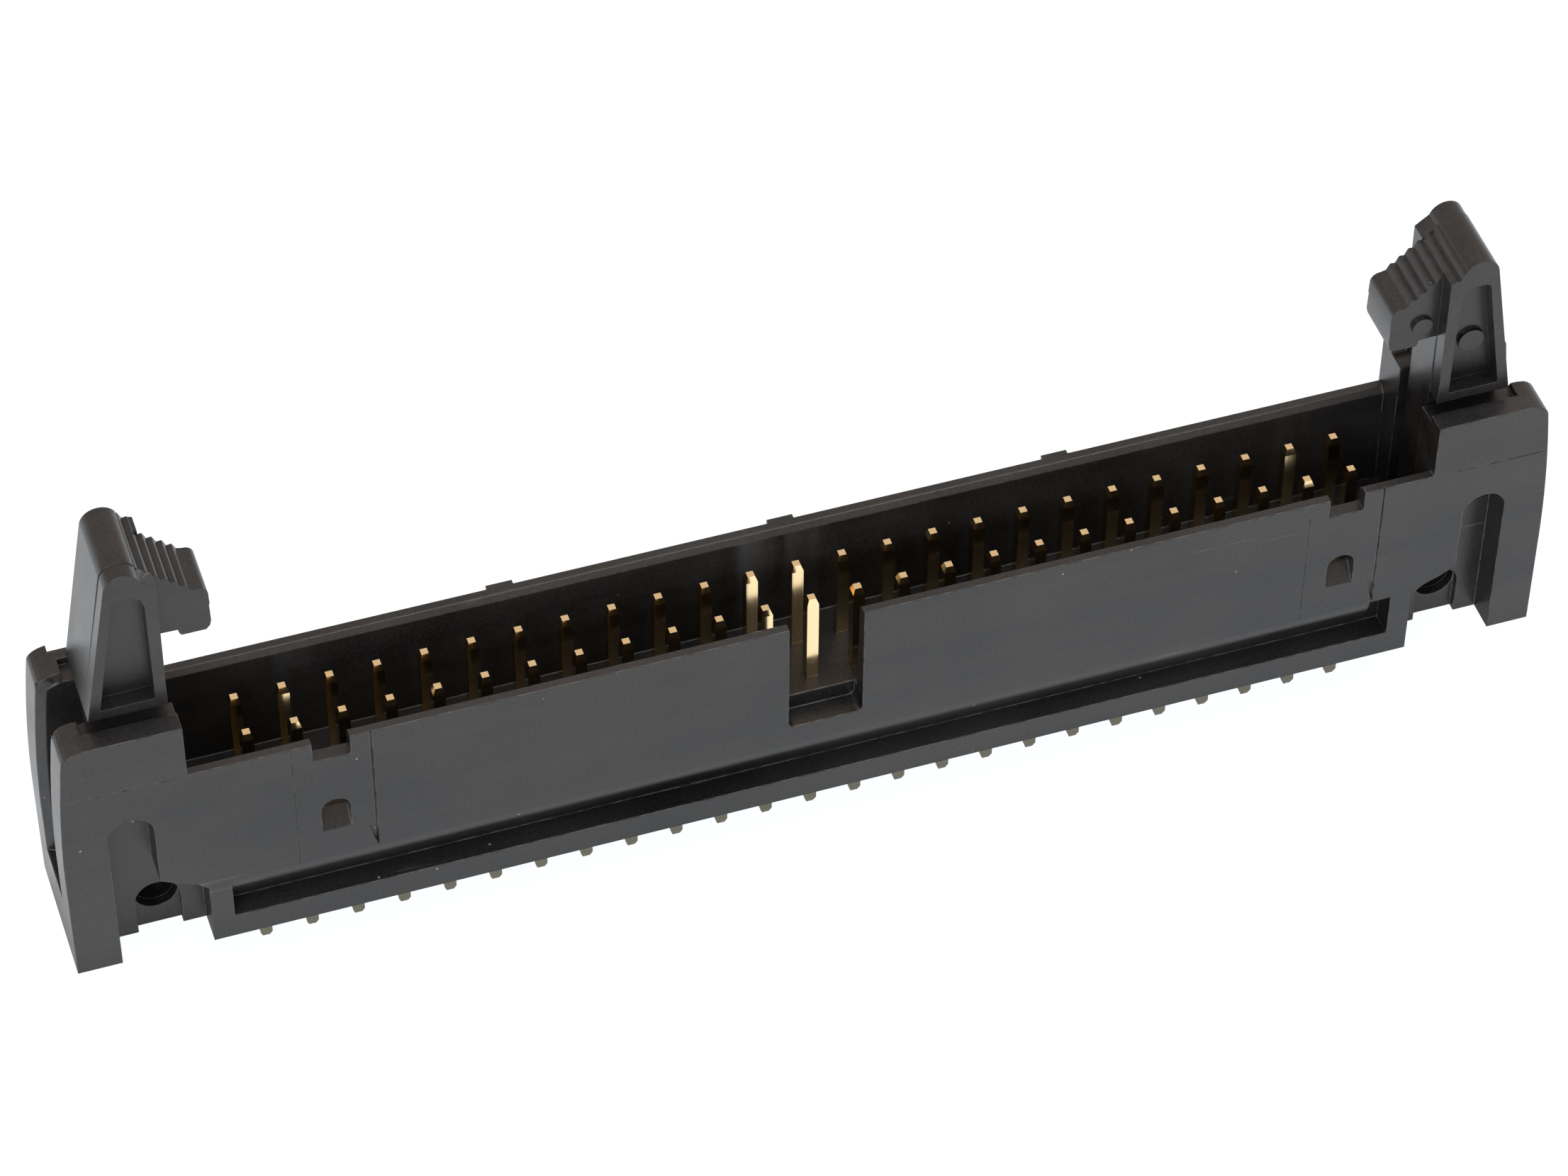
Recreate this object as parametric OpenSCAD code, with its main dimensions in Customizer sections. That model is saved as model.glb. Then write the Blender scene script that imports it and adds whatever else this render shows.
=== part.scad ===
// Idc box header: 2 x 25 pins, open-topped shrouded body, two pivoting ejector latches.
// X runs along the pin rows, -Y is the keyed side, Z = 0 is the face that sits on the board.

/* [Pins] */
// Distance between neighbouring pins and between the two rows
pitch = 2.54; // [2.2:0.02:3.1]
// Pins in each row
pins_per_row = 25; // [19:1:26]
// Side of the square pin
pin_side = 0.64; // [0.5:0.02:0.76]
// Height of the pin tips above the board
pin_height = 12.55; // [11:0.05:15]
// Length of the solder tails under the board face
tail_length = 3.5; // [2.5:0.1:4.5]

/* [Body] */
// Width of the body across the rows
body_width = 7.7; // [7.6:0.05:9.3]
// Height of the long walls
wall_height = 13.25; // [12.8:0.05:16]
// Thickness of the long walls at the top
wall_thickness = 0.75; // [0.6:0.05:0.95]
// Height of the cavity floor
floor_height = 6.7; // [6.4:0.05:7.4]
// Height of the rail along the foot of each long side
rail_height = 1.55; // [1.2:0.05:1.9]
// Depth of the groove above the rail
groove_depth = 1.35; // [1:0.05:1.5]

/* [Keying] */
// Width of the keyway in the front wall
keyway_width = 4.12; // [3.4:0.02:5]
// Height of the keyway's lower edge
keyway_sill = 5.7; // [5.2:0.05:6.4]
// Width of each coding block set in the front wall
coding_width = 4.2; // [3.5:0.05:5]

/* [Towers] */
// Length of each latch tower along the rows
tower_length = 6.85; // [6.7:0.05:8.2]
// Height of the latch towers
tower_height = 16.77; // [16:0.01:16.9]
// Width of the slot that holds the latch
bay_width = 3; // [2.9:0.05:3.2]

/* [Latches] */
// Height of the pivot above the board
pivot_height = 2.4; // [2.1:0.05:2.6]
// Diameter of the pivot holes
pivot_bore = 2.3; // [1.9:0.05:2.4]
// Radial clearance between trunnion and pivot hole
pivot_fit = 0.07; // [0.03:0.01:0.1]
// Width of the latch's thumb piece
thumb_width = 4.9; // [4.2:0.05:5.4]
// Width of the claw
claw_width = 3; // [2.5:0.05:3.1]
// Side gap between the latch's web and the slot
web_gap = 0.08; // [0.05:0.01:0.15]

/* [Hidden] */
$fn = 64;
cut = 0.5;                                   // how far a cutter reaches past a face
half_w = body_width / 2;
end_room = 3.67;                             // from the last pin's centre to the tower
tower_x = (pins_per_row - 1) * pitch / 2 + end_room;
end_x = tower_x + tower_length;
block_end = tower_x - 0.47;                  // end of the full-width lower block

groove_top = 4.4;                            // where the groove's back leaves the face
groove_slope = 30;                           // lean of the groove's lower back
groove_end = tower_x - 1.68;
floor_half = half_w - wall_thickness - 0.2;  // the inner faces are drafted
lead_in = 0.28;                              // chamfer along the inner top edges

keyway_inset = 0.57;                         // keyway beyond the wall's inner face
keyway_corner = 0.38;
coding_places = [-10.5, 11.5];               // in pitches from the middle
coding_notch = [2, 1.3];                     // width and depth
window_width = 1.55;
window_foot = 7.4;
window_arch = 7.98;                          // centre of the arched head
window_spill = 0.95;                         // drop of the sill towards the outside
joint_line = 0.1;                            // width and depth of a joint between mouldings
rib_spacing = 15.45;
rib_size = [1.43, 0.27];                     // width and how far it stands proud

bow_start = 6.55;                            // the tower's end leans in above this
bow_radius = 40;
tower_corner = 0.45;
bay_chamfer = 0.5;
sill_top = 3.75;                             // bridge that closes the bay's outer end
sill_depth = 1.7;
relief = [4.93, 2.72, 0.45];                 // length, half width and depth in the tower's top
rear_step = [5.25, 0.55, 0.5];               // length, width and depth along the rear edge
parting_line = 0.06;

pivot_x = tower_x + 1.97;
pivot_skin = 0.5;                            // thickness of the wall that carries the trunnion
niche_half = 2.1;                            // half width left between the side niches
niche_outer = tower_x + 4.45;
niche_arch = 1.22;                           // radius of the niche's arched head
niche_head = 9.65;
niche_lip = [10.05, 3.1];                    // height and half width of the shallow head
snap_slot = 1.2;                             // radius of the slot under each pivot hole
pad_radius = 2.75;                           // raised pad round the pivot, inside the bay
bay_inner = pivot_x - 2.57;
toe_pocket = [2.3, 4.93];                    // length inwards from the tower, floor height

web_half = bay_width / 2 - web_gap;
hub_half = niche_half - 0.45 - pivot_skin - 0.1;
hub_radius = 2.2;
hub_clear = pad_radius + 0.15;
web_inner = tower_x + 0.3;
web_outer = pivot_x + 1.97;
toe_end = tower_x - 2.15;
toe_levels = [5, 6.5];

thumb_foot = 17.3;                           // lower edge of the thumb piece
thumb_outer = [4.45, 3];                     // outer edge from the tower's end: foot, head
ridge_radius = 1;
ridge_height = 26.07;
step_run = 0.43;
step_rise = 0.37;
step_count = 5;
tread_drop = 0.07;
nose_end = tower_x - 2.45;
nose_levels = [21, 23.4, 23.75];             // underside, top of the nose face, plateau
throat = 21.4;                               // underside of the claw at its root
thumb_pocket = 0.92;                         // depth of the pocket in each side
thumb_cap = 1.3;                             // where the smooth side cap starts

pin_count = 2 * pins_per_row;
pin_names = [for (i = [1 : pin_count]) str("pin_", i < 10 ? "0" : "", i)];

// Points along an arc about a centre, from one angle to another
function arc(centre, radius, from, to, steps = 8) =
    [for (i = [0 : steps])
        let (angle = from + (to - from) * i / steps)
        centre + radius * [cos(angle), sin(angle)]];

// Extends an outline drawn in X and Z along Y
module along_y(from, to) {
    translate([0, to, 0])
        rotate([90, 0, 0])
            linear_extrude(to - from)
                children();
}

// Extends an outline drawn in Y and Z along X
module along_x(from, to) {
    translate([from, 0, 0])
        rotate([90, 0, 90])
            linear_extrude(to - from)
                children();
}

// A box given by its two opposite corners
module block(low, high) {
    translate(low)
        cube(high - low);
}

// Draws its children at both ends, or on both sides
module both(axis) {
    children();
    mirror(axis)
        children();
}

// Section of the groove above the rail: the back leaves the face on a curve and leans in
module groove_section() {
    slant = groove_depth / tan(groove_slope);
    radius = (groove_top - rail_height - slant) / tan(groove_slope / 2);
    polygon(concat(
        [[-half_w - cut, rail_height], [-half_w + groove_depth, rail_height]],
        arc([radius - half_w, groove_top], radius, 180 + groove_slope, 180, 6),
        [[-half_w - cut, groove_top]]));
}

// The body before the towers: a long block with grooved sides
module body_block() {
    difference() {
        block([-tower_x, -half_w, 0], [tower_x, half_w, wall_height]);
        both([0, 1, 0])
            along_x(-groove_end, groove_end)
                groove_section();
        block([groove_end - 1.25, -half_w - cut, rail_height],
              [groove_end, groove_depth - half_w, groove_top]);
    }
}

// The open trough that takes the plug, with drafted walls and a lead-in
module cavity() {
    inner = half_w - wall_thickness;
    along_x(-tower_x, tower_x)
        polygon([
            [-floor_half, floor_height], [floor_half, floor_height],
            [inner, wall_height - lead_in], [inner + lead_in + cut, wall_height + cut],
            [-inner - lead_in - cut, wall_height + cut], [-inner, wall_height - lead_in]]);
}

// The slot in the front wall that takes the plug's key
module keyway() {
    half = keyway_width / 2;
    along_y(-half_w - cut, wall_thickness + keyway_inset - half_w) {
        translate([-half, keyway_sill + keyway_corner])
            square([keyway_width, wall_height + cut - keyway_sill]);
        for (x = [keyway_corner - half, half - keyway_corner])
            translate([x, keyway_sill + keyway_corner])
                circle(keyway_corner);
        translate([keyway_corner - half, keyway_sill])
            square([keyway_width - 2 * keyway_corner, keyway_corner]);
    }
}

// Cuts one coding block leaves in the front wall: top notch, window and joint lines
module coding_block() {
    inner = wall_thickness - half_w;
    half = coding_width / 2;
    block([-coding_notch[0] / 2, -half_w - cut, wall_height - coding_notch[1]],
          [coding_notch[0] / 2, inner + cut, wall_height + cut]);
    intersection() {
        along_y(-half_w - cut, inner + cut) {
            translate([0, window_arch])
                circle(d = window_width);
            translate([-window_width / 2, window_foot - 2])
                square([window_width, window_arch - window_foot + 2]);
        }
        along_x(-half, half)
            polygon([
                [inner + cut, window_foot], [inner, window_foot],
                [-half_w - cut, window_foot - window_spill * (1 + cut / wall_thickness)],
                [-half_w - cut, 10], [inner + cut, 10]]);
    }
    block([half - joint_line / 2, -half_w - cut, 4.5],
          [half + joint_line / 2, joint_line - half_w, wall_height + cut]);
    block([-half - joint_line / 4, -half_w - cut, 4.5],
          [-half + joint_line / 4, joint_line / 3 - half_w, wall_height + cut]);
    along_y(-half_w - cut, 2 * joint_line - half_w)
        polygon([[half, 6.1], [half - 0.45, 6.1], [half, 4.5]]);
}

// Outline of a tower, leaning inwards on a long arc above the bow's start
module tower_outline() {
    centre = [end_x - bow_radius, bow_start];
    lean = asin((tower_height - tower_corner - bow_start) / bow_radius);
    top_x = centre[0] + bow_radius * cos(lean);
    polygon(concat(
        [[block_end - 1, 0], [end_x, 0]],
        arc(centre, bow_radius, 0, lean, 12),
        arc([top_x - tower_corner, tower_height - tower_corner], tower_corner, 15, 90, 5),
        [[tower_x, tower_height], [tower_x, wall_height], [block_end - 1, wall_height]]));
}

// Chamfer along the bay's edges at the outer end and at the top
module bay_chamfers() {
    half = bay_width / 2;
    reach = bay_chamfer + cut;
    intersection() {
        translate([end_x - bow_radius, 0, bow_start])
            rotate([90, 0, 0])
                rotate_extrude($fn = 360)
                    polygon([
                        [bow_radius - bay_chamfer, -half], [bow_radius + cut, -half - reach],
                        [bow_radius + cut, half + reach], [bow_radius - bay_chamfer, half]]);
        block([tower_x, -half_w, bow_start], [end_x + cut, half_w, tower_height + cut]);
    }
    translate([0, 0, sill_top])
        linear_extrude(bow_start - sill_top)
            polygon([
                [end_x - bay_chamfer, -half], [end_x + cut, -half - reach],
                [end_x + cut, half + reach], [end_x - bay_chamfer, half]]);
    along_x(tower_x - cut, end_x)
        polygon([
            [-half, tower_height - bay_chamfer], [half, tower_height - bay_chamfer],
            [half + reach, tower_height + cut], [-half - reach, tower_height + cut]]);
}

// Outline of the niche in a tower's side: an arched slot and the pocket round the pivot
module niche_outline() {
    arch_x = niche_outer - niche_arch;
    translate([arch_x, niche_head])
        circle(niche_arch);
    translate([arch_x - niche_arch, -cut])
        square([2 * niche_arch, niche_head + cut]);
    polygon([
        [block_end, -cut], [arch_x, -cut], [arch_x, 5.65], [arch_x - niche_arch - 0.05, 5.65],
        [tower_x + 1.05, 5.15], [tower_x + 0.15, 4.75], [block_end, 4.2]]);
}

// Cuts in one side of a tower: the niche, its shallow head, the snap slot and the pivot hole
module niche() {
    skin_outer = niche_half - 0.45;
    difference() {
        along_y(-half_w - cut, -niche_half)
            niche_outline();
        block([tower_x, -niche_lip[1], niche_lip[0]], [end_x, 0, tower_height]);
    }
    along_y(-half_w - cut, -skin_outer) {
        translate([pivot_x, pivot_height])
            circle(snap_slot);
        translate([pivot_x - snap_slot, -cut])
            square([2 * snap_slot, pivot_height + cut]);
    }
    along_y(-half_w, 0)
        translate([pivot_x, pivot_height])
            circle(d = pivot_bore);
}

// The bay that the latch swings in, open at the top, the bottom and the outer end
module bay() {
    half = bay_width / 2;
    skin_inner = niche_half - 0.45 - pivot_skin;
    difference() {
        union() {
            block([bay_inner, -half, -cut], [end_x - sill_depth, half, tower_height + cut]);
            block([tower_x, -half, sill_top], [end_x + cut, half, tower_height + cut]);
        }
        both([0, 1, 0])
            along_y(-half - cut, -skin_inner)
                translate([pivot_x, pivot_height])
                    circle(pad_radius);
    }
    block([tower_x - toe_pocket[0], -half, toe_pocket[1]], [tower_x, half, floor_height + cut]);
}

// One latch tower, at the right-hand end
module tower() {
    difference() {
        along_y(-half_w, half_w)
            tower_outline();
        bay_chamfers();
        block([tower_x - cut, -relief[1], tower_height - relief[2]],
              [tower_x + relief[0], relief[1], tower_height + cut]);
        block([tower_x - cut, half_w - rear_step[1], tower_height - rear_step[2]],
              [tower_x + rear_step[0], half_w + cut, tower_height + cut]);
        both([0, 1, 0])
            block([tower_x + parting_line, -half_w - cut, wall_height - parting_line],
                  [end_x, parting_line - half_w, wall_height]);
    }
}

// The moulded body with its towers
module housing() {
    color("#333236")
        difference() {
            union() {
                body_block();
                both([1, 0, 0])
                    tower();
                for (i = [-1 : 1])
                    block([i * rib_spacing - rib_size[0] / 2, half_w - 0.1, groove_top],
                          [i * rib_spacing + rib_size[0] / 2, half_w + rib_size[1], wall_height]);
            }
            cavity();
            keyway();
            for (place = coding_places)
                translate([place * pitch, 0, 0])
                    coding_block();
            both([1, 0, 0]) {
                bay();
                both([0, 1, 0])
                    niche();
            }
            for (i = [0 : pin_count - 1])
                translate(pin_place(i))
                    block([-pin_side / 2, -pin_side / 2, -cut],
                          [pin_side / 2, pin_side / 2, floor_height + cut]);
        }
}

// Where pin i stands: odd pins in the front row, even ones behind
function pin_place(i) =
    [(floor(i / 2) - (pins_per_row - 1) / 2) * pitch, (i % 2 - 0.5) * pitch, 0];

// One straight square pin with tapered ends
module pin(i) {
    taper = 0.36;
    tip = 0.195;
    half = pin_side / 2;
    outline = [
        [-tip, -tail_length], [tip, -tail_length], [half, taper - tail_length],
        [half, pin_height - taper], [tip, pin_height], [-tip, pin_height],
        [-half, pin_height - taper], [-half, taper - tail_length]];
    color("#d9b56a")
        translate(pin_place(i))
            intersection() {
                along_x(-half, half)
                    polygon(outline);
                along_y(-half, half)
                    polygon(outline);
            }
}

// The stepped thumb grip, from the ridge down to the nose
function grip_steps(count) =
    [for (i = [0 : count - 1])
        let (x = tower_x + 0.7 - i * step_run, z = ridge_height + 0.96 - i * step_rise - 1)
        each [[x, z], [x - 0.23, z - tread_drop]]];

// Top of the thumb piece: outer edge and the half-round ridge
function ridge_top() =
    concat(
        [[tower_x + thumb_outer[0], thumb_foot]],
        arc([pivot_x, ridge_height], ridge_radius, 10, 180, 12));

// Outline of the claw and the core of the thumb piece
module claw_outline() {
    polygon(concat(
        [[web_inner, thumb_foot]],
        ridge_top(),
        grip_steps(step_count),
        [[nose_end + 0.75, nose_levels[2]], [nose_end + 0.4, nose_levels[2]]],
        arc([nose_end + 0.35, nose_levels[1]], 0.35, 90, 180, 4),
        [[nose_end, nose_levels[0]], [nose_end + 1.5, nose_levels[0]],
         [nose_end + 1.7, throat], [web_inner, throat]]));
}

// Outline of the stepped side of the thumb piece
module stepped_side_outline() {
    polygon(concat(
        [[web_inner, thumb_foot]],
        ridge_top(),
        grip_steps(2),
        [[tower_x - 0.16, ridge_height - 0.8], [tower_x - 0.16, 24.95], [web_inner, 24.6]]));
}

// Outline of the smooth side cap of the thumb piece
module capped_side_outline() {
    polygon(concat(
        [[web_inner, thumb_foot], [tower_x + thumb_outer[0], thumb_foot]],
        arc([pivot_x - 0.1, ridge_height + 0.05], 1.18, 10, 160, 12),
        [[web_inner, ridge_height]]));
}

// Outline of the pocket in each side of the thumb piece
module thumb_pocket_outline() {
    foot = thumb_foot + 0.6;
    head = ridge_height - 0.65;
    inner = tower_x + 0.95;
    polygon([
        [inner, foot], [tower_x + 3.75, foot], [tower_x + 2.55, head], [inner + 0.55, head],
        [inner + 0.15, head - 0.35], [inner, head - 0.9]]);
}

// Outline of the web, the hub round the pivot and the toe that lifts the plug
module web_outline() {
    translate([pivot_x, pivot_height])
        circle(hub_radius);
    polygon([
        [web_inner, pivot_height], [web_outer, pivot_height], [web_outer + 0.3, thumb_foot + 0.2],
        [web_inner, thumb_foot + 0.2], [web_inner, toe_levels[1] + 0.6],
        [web_inner - 0.6, toe_levels[1]], [toe_end, toe_levels[1]],
        [toe_end, toe_levels[0]], [web_inner, toe_levels[0]]]);
}

// One latch, closed, at the right-hand end
module latch() {
    side = thumb_width / 2;
    difference() {
        union() {
            along_y(-claw_width / 2, claw_width / 2)
                claw_outline();
            along_y(-side, 0)
                stepped_side_outline();
            along_y(thumb_cap, side)
                capped_side_outline();
            difference() {
                along_y(-web_half, web_half)
                    web_outline();
                both([0, 1, 0])
                    along_y(-web_half - cut, -hub_half)
                        translate([pivot_x, pivot_height])
                            circle(hub_clear);
            }
            trunnions();
        }
        both([0, 1, 0])
            along_y(-side - cut, thumb_pocket - side)
                thumb_pocket_outline();
    }
}

// The two trunnions, each with a ramp that spreads the bay as the latch is pushed in
module trunnions() {
    reach = niche_half - 0.5;
    difference() {
        along_y(-reach, reach)
            translate([pivot_x, pivot_height])
                circle(pivot_bore / 2 - pivot_fit);
        both([0, 1, 0])
            along_x(pivot_x - 2, pivot_x + 2)
                polygon([
                    [-reach - cut, pivot_height + 0.7], [-reach, pivot_height + 0.7],
                    [-hub_half - 0.1, pivot_height - 1.2], [-reach - cut, pivot_height - 1.2]]);
    }
}

module latch_right() {
    color("#2c2c2f")
        latch();
}

module latch_left() {
    color("#2c2c2f")
        rotate([0, 0, 180])
            latch();
}

housing();
latch_left();
latch_right();
for (i = [0 : pin_count - 1])
    pin(i);
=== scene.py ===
import math
import bpy
import bmesh
from mathutils import Matrix, Vector


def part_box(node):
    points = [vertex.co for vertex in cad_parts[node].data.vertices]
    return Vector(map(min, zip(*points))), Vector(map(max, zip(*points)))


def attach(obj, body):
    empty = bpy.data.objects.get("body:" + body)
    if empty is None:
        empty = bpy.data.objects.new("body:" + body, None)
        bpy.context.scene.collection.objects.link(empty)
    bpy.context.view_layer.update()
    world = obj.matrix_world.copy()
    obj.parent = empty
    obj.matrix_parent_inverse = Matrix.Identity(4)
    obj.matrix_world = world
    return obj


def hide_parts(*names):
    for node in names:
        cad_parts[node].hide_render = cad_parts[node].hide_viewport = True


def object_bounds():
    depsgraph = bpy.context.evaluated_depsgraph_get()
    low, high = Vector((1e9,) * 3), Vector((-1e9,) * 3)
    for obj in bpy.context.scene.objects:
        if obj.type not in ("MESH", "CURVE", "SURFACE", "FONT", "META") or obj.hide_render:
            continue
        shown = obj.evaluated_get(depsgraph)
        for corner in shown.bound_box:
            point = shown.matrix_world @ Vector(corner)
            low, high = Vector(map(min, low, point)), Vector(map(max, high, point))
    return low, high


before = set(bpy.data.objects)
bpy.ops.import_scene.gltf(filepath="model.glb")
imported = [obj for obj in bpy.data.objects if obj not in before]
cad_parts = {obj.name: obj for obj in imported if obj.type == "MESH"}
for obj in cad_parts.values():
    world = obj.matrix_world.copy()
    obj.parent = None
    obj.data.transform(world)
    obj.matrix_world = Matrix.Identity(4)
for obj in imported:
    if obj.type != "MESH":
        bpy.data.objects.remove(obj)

cad_box = [list(corner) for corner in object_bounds()]
MM = 0.001


# The moulded body: one piece of black glass-filled polyester, satin, with fine flow lines,
# scratches, dust and paler edges that are partly rubbed and partly a painted highlight. It is
# moulded in one shot round side cores, and the pins are pressed through its floor.
def texture_nodes(material):
    """Clears a material and returns its node tree with a Principled shader on the output."""
    material.use_nodes = True
    tree = material.node_tree
    tree.nodes.clear()
    output = tree.nodes.new("ShaderNodeOutputMaterial")
    shader = tree.nodes.new("ShaderNodeBsdfPrincipled")
    tree.links.new(shader.outputs["BSDF"], output.inputs["Surface"])
    return tree, shader


def ramp(tree, source, low, high):
    """Turns a value into a mask that rises from 0 at low to 1 at high."""
    node = tree.nodes.new("ShaderNodeMapRange")
    node.inputs["From Min"].default_value = low
    node.inputs["From Max"].default_value = high
    tree.links.new(source, node.inputs["Value"])
    return node.outputs["Result"]


def maths(tree, operation, first, second):
    """One maths node; each operand is an output or a number."""
    node = tree.nodes.new("ShaderNodeMath")
    node.operation = operation
    for socket, given in zip(node.inputs, (first, second)):
        if isinstance(given, (int, float)):
            socket.default_value = given
        else:
            tree.links.new(given, socket)
    return node.outputs["Value"]


def noise(tree, place, scale, detail, stretch=(1, 1, 1), turn=(0, 0, 0)):
    """Noise on object coordinates, stretched and turned."""
    mapping = tree.nodes.new("ShaderNodeMapping")
    mapping.inputs["Scale"].default_value = stretch
    mapping.inputs["Rotation"].default_value = turn
    texture = tree.nodes.new("ShaderNodeTexNoise")
    texture.inputs["Scale"].default_value = scale
    texture.inputs["Detail"].default_value = detail
    tree.links.new(place, mapping.inputs["Vector"])
    tree.links.new(mapping.outputs["Vector"], texture.inputs["Vector"])
    return texture.outputs["Fac"]


def moulded_wear_and_highlight_group():
    """Grain, flow lines, scratches, dust, rubbed edges with a painted highlight, and rounded
    normals of a moulding.
    """
    grain_scale, flow_scale, mottle_scale, chip_scale = 5200, 420, 150, 1500
    scratch_families = ((1500, (0.2, 0.25, 0.4)), (1200, (0.1, -0.5, -0.2)))
    scratch_stretch, scratch_patch_scale = (0.035, 1, 1), 260
    dust_scale, dust_threshold = 1300, 0.955
    group = bpy.data.node_groups.new("moulded_wear_and_highlight", "ShaderNodeTree")
    for name in ("Grain", "Flow", "Scratches", "Dust Mask", "Edges", "Mottle"):
        group.interface.new_socket(name, in_out="OUTPUT", socket_type="NodeSocketFloat")
    group.interface.new_socket("Rounded", in_out="OUTPUT", socket_type="NodeSocketVector")
    group.interface.new_socket("Edge Radius", in_out="INPUT", socket_type="NodeSocketFloat")
    nodes, links = group.nodes, group.links
    out = nodes.new("NodeGroupOutput")
    given = nodes.new("NodeGroupInput")
    place = nodes.new("ShaderNodeTexCoord").outputs["Object"]

    links.new(noise(group, place, grain_scale, 2), out.inputs["Grain"])
    links.new(noise(group, place, flow_scale, 3, (0.06, 1, 1)), out.inputs["Flow"])
    links.new(noise(group, place, mottle_scale, 4), out.inputs["Mottle"])

    marks = []
    for scale, turn in scratch_families:
        line = noise(group, place, scale, 2, scratch_stretch, turn)
        patch = noise(group, place, scratch_patch_scale, 1, (1, 1, 1), turn)
        marks.append(maths(group, "MULTIPLY", ramp(group, line, 0.70, 0.76),
                           ramp(group, patch, 0.55, 0.62)))
    links.new(maths(group, "MAXIMUM", *marks), out.inputs["Scratches"])

    specks = nodes.new("ShaderNodeTexVoronoi")
    specks.inputs["Scale"].default_value = dust_scale
    links.new(place, specks.inputs["Vector"])
    split = nodes.new("ShaderNodeSeparateColor")
    links.new(specks.outputs["Color"], split.inputs["Color"])
    some = maths(group, "GREATER_THAN", split.outputs["Red"], dust_threshold)
    near = ramp(group, specks.outputs["Distance"], 0.11, 0.04)
    links.new(maths(group, "MULTIPLY", some, near), out.inputs["Dust Mask"])

    rounded = nodes.new("ShaderNodeBevel")
    rounded.samples = 6
    links.new(given.outputs["Edge Radius"], rounded.inputs["Radius"])
    links.new(rounded.outputs["Normal"], out.inputs["Rounded"])
    flat = nodes.new("ShaderNodeNewGeometry")
    bend = nodes.new("ShaderNodeVectorMath")
    bend.operation = "DOT_PRODUCT"
    links.new(rounded.outputs["Normal"], bend.inputs[0])
    links.new(flat.outputs["Normal"], bend.inputs[1])
    # Pale edges where the rounded normal bends away from the flat one, broken up by noise:
    # partly rubbed plastic, partly a painted highlight along the rounded edges.
    worn_and_highlit = ramp(group, bend.outputs["Value"], 0.95, 0.80)
    chips = ramp(group, noise(group, place, chip_scale, 3), 0.40, 0.60)
    links.new(maths(group, "MULTIPLY", worn_and_highlit, chips), out.inputs["Edges"])
    return group


moulded_wear_and_highlight = moulded_wear_and_highlight_group()


def layer(tree, mask, under, colour):
    """Mixes a colour over another by a mask, and returns the result."""
    mix = tree.nodes.new("ShaderNodeMix")
    mix.data_type = "RGBA"
    tree.links.new(mask, mix.inputs[0])
    if isinstance(under, tuple):
        mix.inputs[6].default_value = (*under, 1)
    else:
        tree.links.new(under, mix.inputs[6])
    mix.inputs[7].default_value = (*colour, 1)
    return mix.outputs[2]


def moulded_plastic(name, dark, pale, rough, edge_wear_and_highlight, edge_radius):
    """A satin moulded plastic with mottled colour, pale edges that are partly rubbed and
    partly a painted highlight, dust specks and fine grain.
    """
    # The pale edge colour is partly rubbed plastic and partly a painted highlight on the
    # edges.
    edge_wear_and_highlight_colour, scratch_colour = (0.17, 0.165, 0.16), (0.30, 0.30, 0.30)
    dust_colour, scratch_strength, dust_strength = (0.42, 0.40, 0.36), 0.22, 0.75
    roughness_swing, grain_depth, polyester_ior = 0.14, 0.011 * MM, 1.55
    material = bpy.data.materials.new(name)
    tree, shader = texture_nodes(material)
    nodes, links = tree.nodes, tree.links
    wear_and_highlight = nodes.new("ShaderNodeGroup")
    wear_and_highlight.node_tree = moulded_wear_and_highlight
    wear_and_highlight.inputs["Edge Radius"].default_value = edge_radius

    streaks = maths(tree, "ADD", wear_and_highlight.outputs["Mottle"], wear_and_highlight.outputs["Flow"])
    blotches = maths(tree, "ADD", streaks, wear_and_highlight.outputs["Grain"])
    colour = layer(tree, ramp(tree, blotches, 1.15, 1.85), dark, pale)
    # Paler edges, partly rubbed and partly a painted highlight.
    worn_and_highlit = maths(tree, "MULTIPLY", wear_and_highlight.outputs["Edges"], edge_wear_and_highlight)
    colour = layer(tree, worn_and_highlit, colour, edge_wear_and_highlight_colour)
    scratched = maths(tree, "MULTIPLY", wear_and_highlight.outputs["Scratches"], scratch_strength)
    colour = layer(tree, scratched, colour, scratch_colour)
    dusty = maths(tree, "MULTIPLY", wear_and_highlight.outputs["Dust Mask"], dust_strength)
    colour = layer(tree, dusty, colour, dust_colour)
    links.new(colour, shader.inputs["Base Color"])

    roughness = nodes.new("ShaderNodeMapRange")
    roughness.inputs["From Max"].default_value = 2
    roughness.inputs["To Min"].default_value = rough - roughness_swing
    roughness.inputs["To Max"].default_value = rough + roughness_swing
    links.new(streaks, roughness.inputs["Value"])
    links.new(roughness.outputs["Result"], shader.inputs["Roughness"])

    height = maths(tree, "ADD", wear_and_highlight.outputs["Grain"], wear_and_highlight.outputs["Flow"])
    height = maths(tree, "SUBTRACT", height, wear_and_highlight.outputs["Scratches"])
    relief = nodes.new("ShaderNodeBump")
    relief.inputs["Strength"].default_value = 0.35
    relief.inputs["Distance"].default_value = grain_depth
    links.new(height, relief.inputs["Height"])
    links.new(wear_and_highlight.outputs["Rounded"], relief.inputs["Normal"])
    links.new(relief.outputs["Normal"], shader.inputs["Normal"])
    shader.inputs["IOR"].default_value = polyester_ior
    return material


def dress(node, material):
    """Gives a CAD node a material in all its slots."""
    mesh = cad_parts[node].data
    mesh.materials.clear()
    mesh.materials.append(material)


housing_plastic = moulded_plastic(
    "housing_plastic", (0.005, 0.0052, 0.0056), (0.024, 0.0238, 0.0245), 0.33, 0.75, 0.12 * MM)
dress("housing", housing_plastic)

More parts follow.
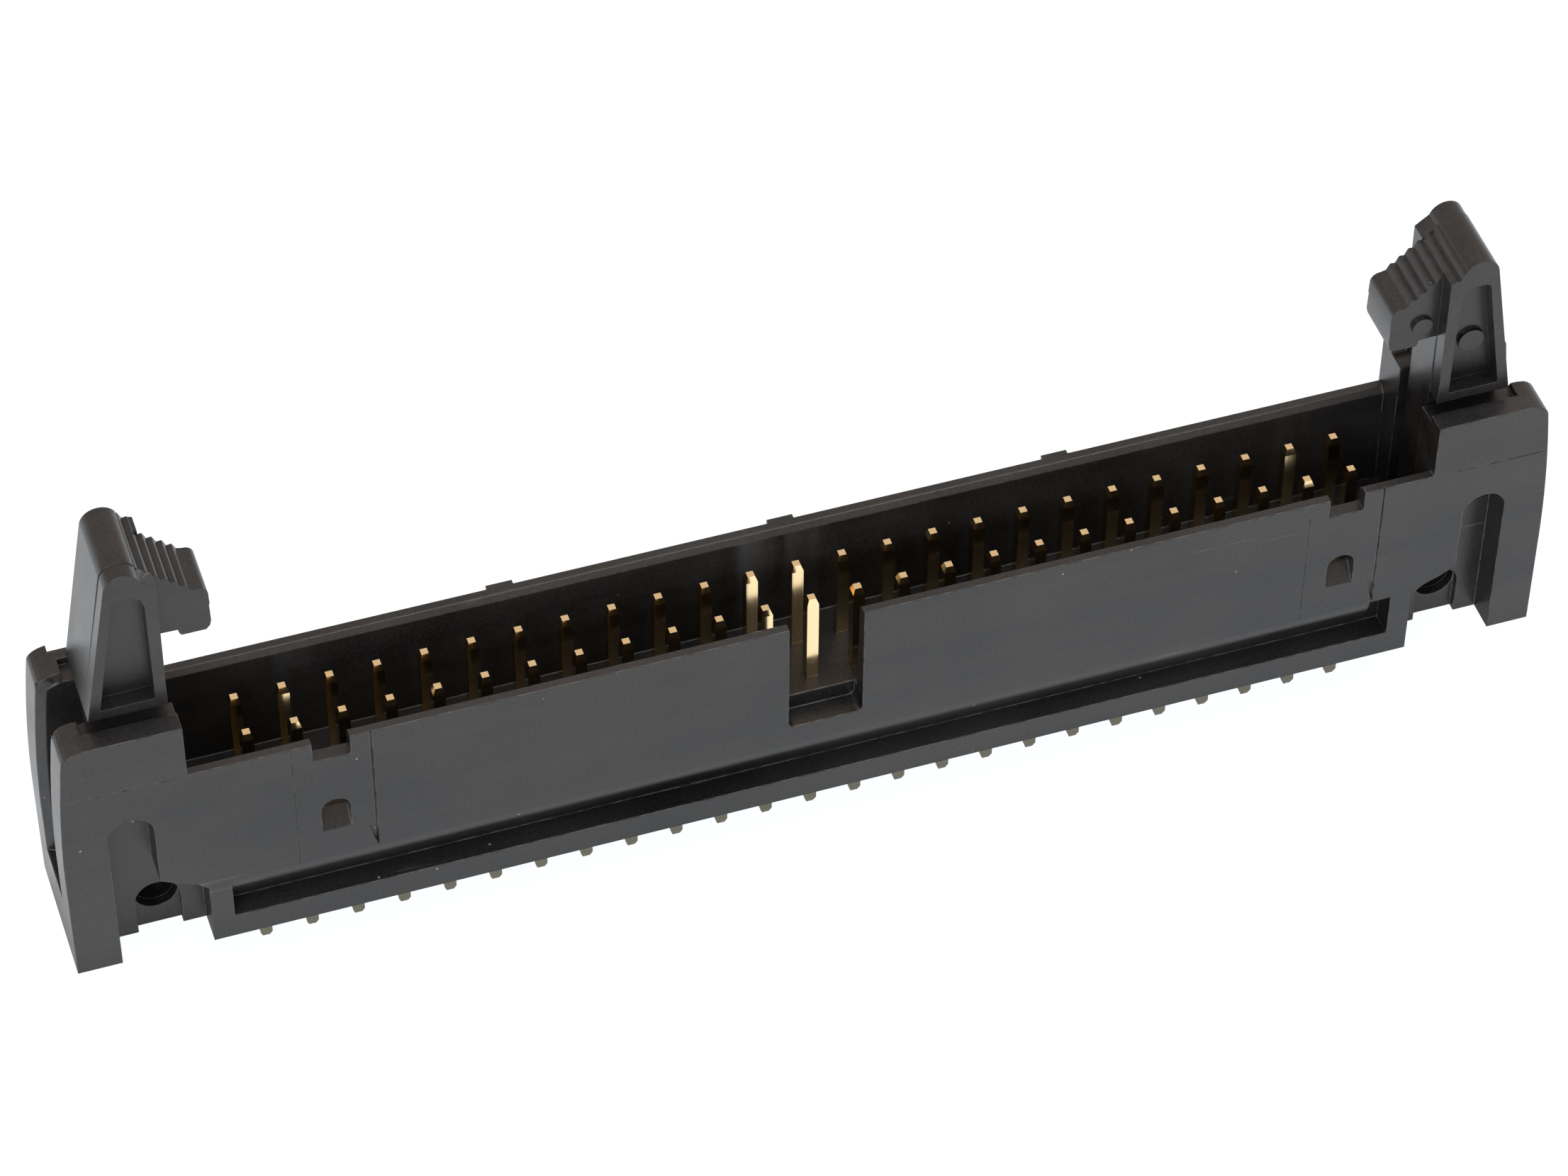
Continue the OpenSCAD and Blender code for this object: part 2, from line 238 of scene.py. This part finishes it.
# The towers are edited on a copy of the CAD mesh, in millimetres: a flatter bow, rounder
# top corners and a narrower chamfer at the mouth of each bay.
tower_inner, bow_start, end_x = 34, 6.55, cad_box[1][0] / MM
cad_bow, real_bow = 40, 82
tower_top, cad_corner, real_corner = 16.77, 0.45, 0.77
cheek_end, bay_half = 39.42, 1.5
cad_chamfer, real_chamfer = 0.5, 0.24
corner_foot, real_foot, settle = tower_top - cad_corner, tower_top - real_corner, 15.6
flat_angle, near, skin = 0.0015, 0.01, 0.05


def bow(radius, height):
    """How far out the end face of a tower lies at a height, for a bow of a radius."""
    return end_x - radius + math.sqrt(radius ** 2 - max(height - bow_start, 0) ** 2)


shape = bmesh.new()
shape.from_mesh(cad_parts["housing"].data)
in_towers = {vertex for vertex in shape.verts if abs(vertex.co.x) > tower_inner * MM}
bmesh.ops.dissolve_limit(
    shape, angle_limit=flat_angle, verts=[vertex for vertex in shape.verts
                                          if vertex in in_towers],
    edges=[edge for edge in shape.edges if in_towers.issuperset(edge.verts)])
for vertex in shape.verts:
    x, y, z = abs(vertex.co.x) / MM, abs(vertex.co.y) / MM, vertex.co.z / MM
    if x < tower_inner:
        continue
    was = bow(cad_bow, z)
    on_end = z > bow_start or x > end_x - near
    if on_end and bay_half + near < y < bay_half + cad_chamfer + near:
        new_y = bay_half + (y - bay_half) * real_chamfer / cad_chamfer
        vertex.co.y = math.copysign(new_y * MM, vertex.co.y)
    chamfer_foot = abs(y - bay_half) < near and abs(x - was + cad_chamfer) < 3 * near
    if z > corner_foot - near:
        if x <= cheek_end:
            continue
        widen = ((bow(real_bow, real_foot) - cheek_end)
                 / (bow(cad_bow, corner_foot) - cheek_end))
        new_x = cheek_end + (x - cheek_end) * widen
        new_z = tower_top - (tower_top - z) * real_corner / cad_corner
    elif z > bow_start and (x > was - skin or chamfer_foot):
        squeeze = (real_foot - settle) / (corner_foot - settle)
        new_z = min(z, settle) + max(z - settle, 0) * squeeze
        new_x = x + bow(real_bow, new_z) - was
    else:
        continue
    vertex.co.x = math.copysign(new_x * MM, vertex.co.x)
    vertex.co.z = new_z * MM
bmesh.ops.triangulate(shape, faces=[face for face in shape.faces if len(face.verts) > 3],
                      ngon_method="EAR_CLIP")
body_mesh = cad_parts["housing"].data.copy()
body_mesh.name = "moulded_body"
shape.to_mesh(body_mesh)
shape.free()
body_mesh.materials.clear()
body_mesh.materials.append(housing_plastic)
body = bpy.data.objects.new("moulded_body", body_mesh)
bpy.context.collection.objects.link(body)
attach(body, "header")
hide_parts("housing")


# The two ejector latches: one moulding used at both ends, in the same black plastic with a
# slightly smoother skin. It carries a stepped thumb grip, a claw, a recess and ejector marks,
# and snaps into its tower on two stub trunnions.
latch_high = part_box("latch_right")[1] / MM
pivot = pivot_x, pivot_z = 36.12, 2.4
web_inner, web_outer = 34.44, 38.09
thumb_foot, thumb_side = 17.3, latch_high.y
claw_half, web_half, hub_half = 1.5, 1.42, 1.05
hub_radius, hub_relief = 2.2, 2.9
trunnion_radius, trunnion_bore, trunnion_half = 1.08, 1.03, 1.2
recess_depth = 0.92
claw_pad, claw_pad_radius = (33.5, 22.5), 0.58
recess_pad, recess_pad_radius = (36.42, 20.72), 0.74
ridge_radius = 1.0
ridge = (pivot_x, latch_high.z - ridge_radius - 0.16)
first_step_x, first_step_rise = 35.19, 0.37
step_run, step_rise, step_count = 0.478, 0.41, 6


def arc(centre, radius, start, stop, steps=28):
    """Points along an arc, angles in degrees."""
    angles = [math.radians(start + (stop - start) * i / steps) for i in range(steps + 1)]
    return [(centre[0] + radius * math.cos(a), centre[1] + radius * math.sin(a))
            for a in angles]


def prism(outline, low, high):
    """A solid from an outline in X and Z, between two places in Y, in millimetres."""
    shape = bmesh.new()
    rings = [[shape.verts.new((x, y, z)) for x, z in outline] for y in (low, high)]
    for ring in rings:
        shape.faces.new(ring)
    for i in range(len(outline)):
        shape.faces.new((rings[0][i], rings[0][i - 1], rings[1][i - 1], rings[1][i]))
    bmesh.ops.recalc_face_normals(shape, faces=shape.faces)
    mesh = bpy.data.meshes.new("prism")
    shape.to_mesh(mesh)
    shape.free()
    solid = bpy.data.objects.new("prism", mesh)
    bpy.context.collection.objects.link(solid)
    return solid


def combine(base, operation, tools):
    """Joins the tools to the base, or cuts them from it, and removes them."""
    for tool in tools:
        step = base.modifiers.new("step", "BOOLEAN")
        step.operation = operation
        step.solver = "EXACT"
        step.object = tool
    bpy.context.view_layer.update()
    graph = bpy.context.evaluated_depsgraph_get()
    mesh = bpy.data.meshes.new_from_object(base.evaluated_get(graph))
    base.modifiers.clear()
    base.data = mesh
    for tool in tools:
        bpy.data.objects.remove(tool)


def steps(count):
    """The stepped grip: each tread falls a little to its crest, then drops to the next."""
    points = []
    for i in range(count):
        x = first_step_x - step_run * i
        z = ridge[1] + first_step_rise - step_rise * i
        tread = (x + 0.12, z + 0.06) if i == 0 else (x + 0.25, z - 0.03)
        points += [tread, (x, z), (x - 0.05, z - 0.06)]
    return points


thumb_back = [(latch_high.x, thumb_foot)] + arc(ridge, ridge_radius, 10, 150)
core = ([(web_inner, thumb_foot)] + thumb_back + steps(step_count)
        + [(32.58, 24.06), (32.3, 23.98)] + arc((32.25, 23.45), 0.53, 85, 170, 8)
        + [(31.70, 22.75), (31.74, 22.72), (31.71, 21.6), (31.78, 21.25), (32.0, 21.0),
           (33.22, 21.0), (33.34, 21.08), (33.44, 21.42), (web_inner, 21.45)])
stepped_side = ([(34.5, thumb_foot)] + thumb_back + steps(2)
                + [(web_inner, ridge[1] - 0.18)])
capped_side = ([(34.5, thumb_foot), (latch_high.x, thumb_foot)]
               + arc(ridge, ridge_radius - 0.04, 10, 163)
               + [(web_inner, ridge[1] - 0.3)])
web = [(web_inner, pivot_z), (web_outer, pivot_z), (web_outer + 0.3, thumb_foot + 0.2),
       (web_inner, thumb_foot + 0.2), (web_inner, 7.1), (33.84, 6.5), (32.0, 6.5), (32.0, 5),
       (web_inner, 5)]
slot = [(web_inner - 0.2, 7.5), (web_inner + 0.3, 7.5), (web_inner + 0.3, 18.3),
        (web_inner - 0.2, 19.2)]
recess = ([(35.1, 17.9), (37.9, 17.9)] + arc((36.42, 25.05), 0.36, 8, 90, 6)
          + [(35.62, 25.41), (35.25, 25.1), (35.1, 24.55)])

latch = prism(core, -claw_half, claw_half)
combine(latch, "UNION", [
    prism(stepped_side, -thumb_side, -claw_half + 0.1),
    prism(capped_side, claw_half - 0.06, thumb_side),
    prism(web, -web_half, web_half),
    prism(arc(pivot, hub_radius, 0, 355, 71), -web_half, web_half)])
combine(latch, "DIFFERENCE", [
    prism(arc(pivot, hub_relief, 0, 355, 71), hub_half, 1.6),
    prism(arc(pivot, hub_relief, 0, 355, 71), -1.6, -hub_half),
    prism(recess, thumb_side - recess_depth, thumb_side + 0.2),
    prism(recess, -thumb_side - 0.2, recess_depth - thumb_side)])
combine(latch, "UNION", [
    prism(arc(claw_pad, claw_pad_radius, 0, 350, 35), -claw_half - 0.2, 0.3 - claw_half),
    prism(arc(recess_pad, recess_pad_radius, 0, 350, 35), 0.70 - thumb_side,
          1.3 - thumb_side)])
combine(latch, "UNION", [
    prism(arc(pivot, trunnion_radius, 0, 350, 35), -trunnion_half, trunnion_half)])
combine(latch, "DIFFERENCE", [
    prism(slot, 1.0, 1.75),
    prism(arc(pivot, trunnion_bore, 0, 350, 35), -1.5, -0.2),
    prism(arc(pivot, trunnion_bore, 0, 350, 35), 0.2, 1.5)])

latch_plastic = moulded_plastic(
    "latch_plastic", (0.005, 0.005, 0.0053), (0.022, 0.0215, 0.022), 0.31, 0.35, 0.045 * MM)
dress("latch_left", latch_plastic)
dress("latch_right", latch_plastic)
for side, turn in (("right", 0), ("left", math.pi)):
    moulding = bpy.data.meshes.new_from_object(latch)
    moulding.name = "ejector_" + side
    moulding.transform(Matrix.Rotation(turn, 4, "Z") @ Matrix.Scale(MM, 4))
    for face in moulding.polygons:
        face.use_smooth = True
    moulding.set_sharp_from_angle(angle=math.radians(28))
    moulding.materials.clear()
    moulding.materials.append(latch_plastic)
    piece = bpy.data.objects.new("ejector_" + side, moulding)
    bpy.context.collection.objects.link(piece)
    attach(piece, "latch_" + side)
    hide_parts("latch_" + side)
bpy.data.objects.remove(latch)


# The fifty pins: square drawn brass wire with a thin flash of pale gold over nickel and
# tinned tails, coined to a taper at each end and pressed through the body's floor.
def gold_plate():
    """Pale gold with faint drawing lines along the wire, and matt tin on the tails."""
    tin_roughness = 0.25
    material = bpy.data.materials.new("pin_gold")
    tree, shader = texture_nodes(material)
    nodes, links = tree.nodes, tree.links
    place = nodes.new("ShaderNodeTexCoord").outputs["Object"]
    lines = noise(tree, place, 6000, 2, (1, 1, 0.05))
    gold = layer(tree, lines, (1.0, 0.71, 0.37), (1.0, 0.81, 0.50))
    split = nodes.new("ShaderNodeSeparateXYZ")
    links.new(place, split.inputs["Vector"])
    tinned = ramp(tree, split.outputs["Z"], 0.6 * MM, -0.2 * MM)
    links.new(layer(tree, tinned, gold, (0.50, 0.47, 0.37)), shader.inputs["Base Color"])
    rough = nodes.new("ShaderNodeMapRange")
    rough.inputs["To Min"].default_value = 0.07
    rough.inputs["To Max"].default_value = 0.17
    links.new(lines, rough.inputs["Value"])
    matt = maths(tree, "MULTIPLY", tinned, tin_roughness)
    links.new(maths(tree, "ADD", rough.outputs["Result"], matt), shader.inputs["Roughness"])
    shader.inputs["Metallic"].default_value = 1
    return material


pin_gold = gold_plate()
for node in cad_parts:
    if node.startswith("pin_"):
        dress(node, pin_gold)


# The studio: a white sheet under the tails, soft white lamps, and a pale world.
# The floor shows as white to the camera and still takes the header's soft shadow. What shines
# back from it in reflections carries a painted shadow:
# its glow is turned down by place under the header, where the sheet lies in the shade.
low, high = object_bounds()
floor_mesh = bpy.data.meshes.new("floor")
shape = bmesh.new()
bmesh.ops.create_grid(shape, x_segments=1, y_segments=1, size=3)
bmesh.ops.translate(shape, verts=shape.verts, vec=(0, 0, low.z - 0.01 * MM))
shape.to_mesh(floor_mesh)
shape.free()
floor = bpy.data.objects.new("floor", floor_mesh)
bpy.context.collection.objects.link(floor)
sheet_glow, painted_shadow_glow, glow_share = 1.25, 0.25, 0.8
# Painted shadow: the spans near the header's footprint where the sheet's reflected glow drops
# to a quarter.
painted_shadow_x, painted_shadow_y = (high.x, high.x + 3 * MM), (4.2 * MM, 6.8 * MM)
sheet = bpy.data.materials.new("white_sheet")
tree, shader = texture_nodes(sheet)
shader.inputs["Base Color"].default_value = (0.9, 0.9, 0.9, 1)
shader.inputs["Roughness"].default_value = 0.9
place = tree.nodes.new("ShaderNodeTexCoord")
split = tree.nodes.new("ShaderNodeSeparateXYZ")
tree.links.new(place.outputs["Object"], split.inputs["Vector"])
outside_painted_shadow = [ramp(tree, maths(tree, "ABSOLUTE", split.outputs[axis], 0), *shade)
          for axis, shade in (("X", painted_shadow_x), ("Y", painted_shadow_y))]
path = tree.nodes.new("ShaderNodeLightPath")
# Painted shadow in the reflected glow: full away from the header, a quarter under it; the
# camera always sees the full glow.
clear = maths(tree, "MULTIPLY", maths(tree, "MAXIMUM", *outside_painted_shadow), 1 - painted_shadow_glow)
clear = maths(tree, "ADD", clear, painted_shadow_glow)
clear = maths(tree, "MAXIMUM", clear, path.outputs["Is Camera Ray"])
glow = tree.nodes.new("ShaderNodeEmission")
glow.inputs["Color"].default_value = (0.91, 0.955, 1, 1)
tree.links.new(maths(tree, "MULTIPLY", clear, sheet_glow), glow.inputs["Strength"])
seen = maths(tree, "MAXIMUM", path.outputs["Is Camera Ray"], path.outputs["Is Glossy Ray"])
mix = tree.nodes.new("ShaderNodeMixShader")
tree.links.new(maths(tree, "MULTIPLY", seen, glow_share), mix.inputs["Fac"])
tree.links.new(shader.outputs["BSDF"], mix.inputs[1])
tree.links.new(glow.outputs["Emission"], mix.inputs[2])
output = next(node for node in tree.nodes if node.type == "OUTPUT_MATERIAL")
tree.links.new(mix.outputs["Shader"], output.inputs["Surface"])
floor_mesh.materials.append(sheet)

world = bpy.data.worlds.new("room")
bpy.context.scene.world = world
world.use_nodes = True
background = world.node_tree.nodes["Background"]
background.inputs["Color"].default_value = (1, 0.89, 0.81, 1)
background.inputs["Strength"].default_value = 0.66


def softbox(name, place, aim, size, watts):
    """A square soft lamp at a place, pointed at the aim."""
    lamp = bpy.data.lights.new(name, "AREA")
    lamp.shape = "SQUARE"
    lamp.size = size
    lamp.energy = watts
    rig = bpy.data.objects.new(name, lamp)
    bpy.context.collection.objects.link(rig)
    rig.location = place
    rig.rotation_mode = "QUATERNION"
    rig.rotation_quaternion = (Vector(aim) - Vector(place)).to_track_quat("-Z", "Y")


centre = (low + high) / 2
softbox("front_left", centre + Vector((-0.25, -0.35, 0.25)), centre, 0.25, 0.9)
softbox("overhead", centre + Vector((0.1, -0.05, 0.45)), centre, 0.3, 0.8)

# The camera looks down at the keyed side from the left.
aim = Vector((-1.09, 0, 12.29)) * MM
azimuth, elevation, roll = math.radians(-18.71), math.radians(46.80), math.radians(0.5)
back = Vector((math.sin(azimuth) * math.cos(elevation),
               -math.cos(azimuth) * math.cos(elevation), math.sin(elevation)))
distance = 286.15 * MM
lens = bpy.data.cameras.new("camera")
lens.lens = 125.2
lens.sensor_width = 36
lens.clip_start, lens.clip_end = 0.01, 20
camera = bpy.data.objects.new("camera", lens)
bpy.context.collection.objects.link(camera)
camera.location = aim + back * distance
camera.rotation_mode = "QUATERNION"
camera.rotation_quaternion = (
    (-back).to_track_quat("-Z", "Y") @ Matrix.Rotation(roll, 3, "Z").to_quaternion())
bpy.context.scene.camera = camera
bpy.context.scene.view_settings.view_transform = "Standard"
